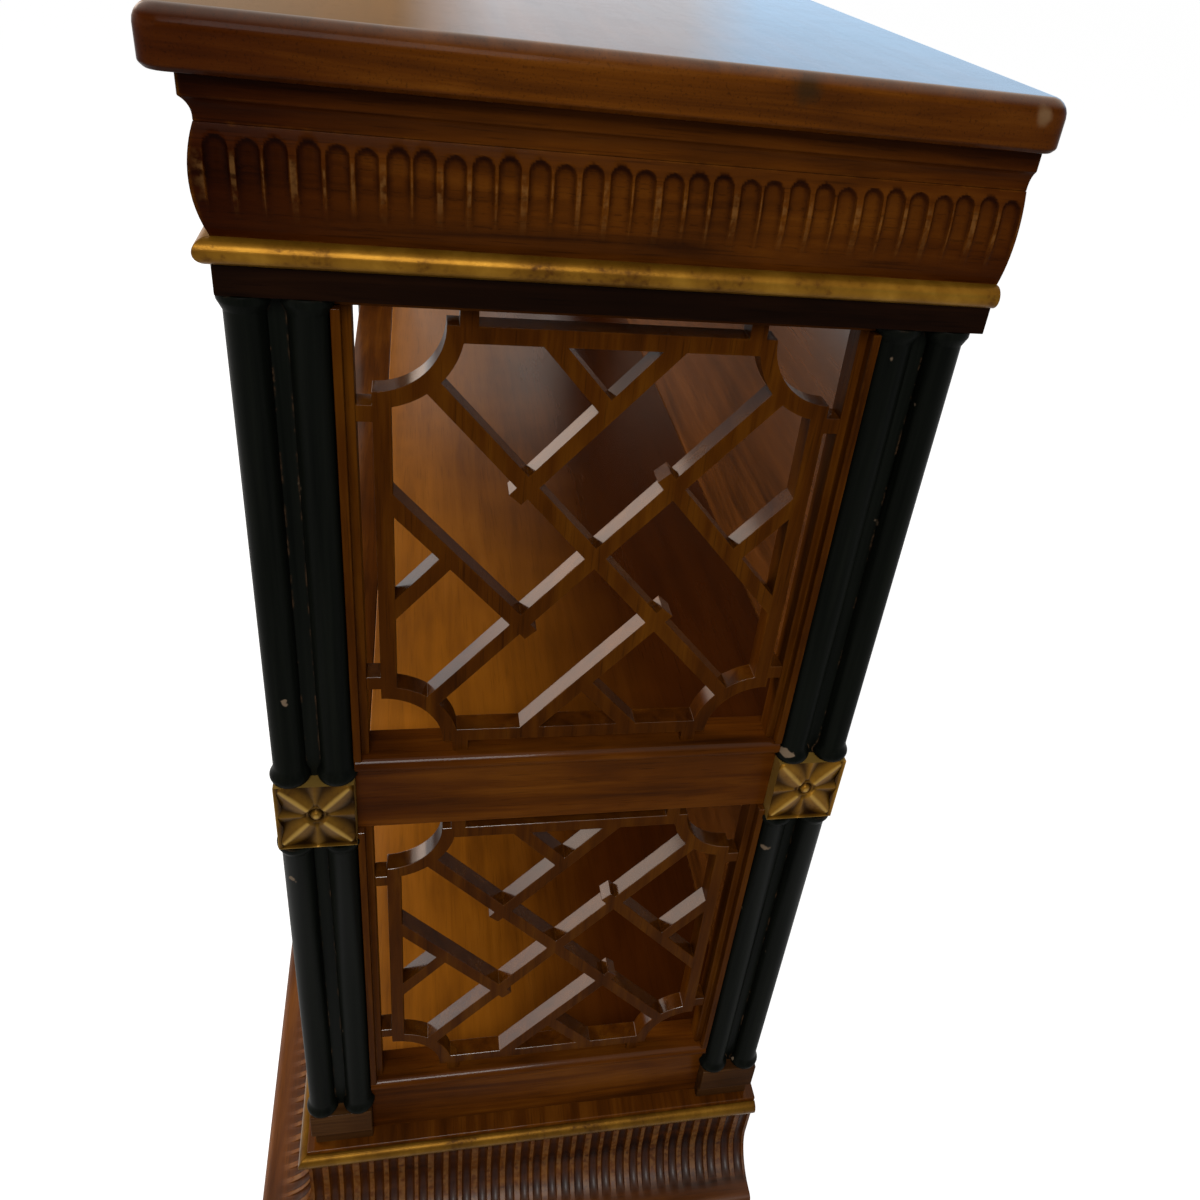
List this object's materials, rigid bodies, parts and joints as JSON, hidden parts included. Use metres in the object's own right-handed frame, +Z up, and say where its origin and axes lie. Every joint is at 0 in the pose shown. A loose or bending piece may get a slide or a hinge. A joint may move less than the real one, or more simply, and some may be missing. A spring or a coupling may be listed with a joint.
{
  "type": "chinese book cabinet",
  "caption": "Open cabinet for books, with fretwork ends, clustered corner columns, carved and gilt mouldings and a flared base",
  "frame": {"origin": "On the floor, under the middle of the cabinet's whole outline.", "axes": "X runs along the cabinet, +Y points to the closed, flush back, -Y to the open front, +Z up."},
  "size_m": [1.306, 0.4665, 1.046],
  "materials": {
    "polished_wood": "polished red-brown hardwood",
    "panel_wood": "plainer brown board",
    "ebonised": "black stained and polished",
    "gilt": "worn gilding over wood"
  },
  "bodies": {
    "root": {"top_slab": "polished_wood", "cornice_front": "polished_wood", "frieze_front": "polished_wood", "fascia_front": "polished_wood", "base_cove_front": "polished_wood", "upper_bead_front": "gilt", "base_bead_front": "gilt", "cornice_left": "polished_wood", "frieze_left": "polished_wood", "fascia_left": "polished_wood", "base_cove_left": "polished_wood", "upper_bead_left": "gilt", "base_bead_left": "gilt", "cornice_right": "polished_wood", "frieze_right": "polished_wood", "fascia_right": "polished_wood", "base_cove_right": "polished_wood", "upper_bead_right": "gilt", "base_bead_right": "gilt", "mid_rail_left": "polished_wood", "bottom_rail_left": "polished_wood", "fret_upper_left": "polished_wood", "fret_lower_left": "polished_wood", "fret_strips_upper_left": "polished_wood", "fret_strips_lower_left": "polished_wood", "top_rail_left": "panel_wood", "mid_rail_right": "polished_wood", "bottom_rail_right": "polished_wood", "fret_upper_right": "polished_wood", "fret_lower_right": "polished_wood", "fret_strips_upper_right": "polished_wood", "fret_strips_lower_right": "polished_wood", "top_rail_right": "panel_wood", "top_rail_front": "panel_wood", "top_rail_back": "panel_wood", "soffit_board": "panel_wood", "back_panel": "panel_wood", "glue_blocks": "panel_wood", "shelf_panel": "panel_wood", "bottom_board": "panel_wood", "shelf_front_rail": "polished_wood", "bottom_front_rail": "polished_wood", "base_board": "polished_wood", "plinth": "polished_wood", "upper_column_front_left": "ebonised", "lower_column_front_left": "ebonised", "plinth_block_front_left": "polished_wood", "rosette_block_front_left": "gilt", "upper_column_front_right": "ebonised", "lower_column_front_right": "ebonised", "plinth_block_front_right": "polished_wood", "rosette_block_front_right": "gilt", "upper_column_back_left": "ebonised", "lower_column_back_left": "ebonised", "plinth_block_back_left": "polished_wood", "rosette_block_back_left": "gilt", "upper_column_back_right": "ebonised", "lower_column_back_right": "ebonised", "plinth_block_back_right": "polished_wood", "rosette_block_back_right": "gilt"}
  },
  "joints": []
}
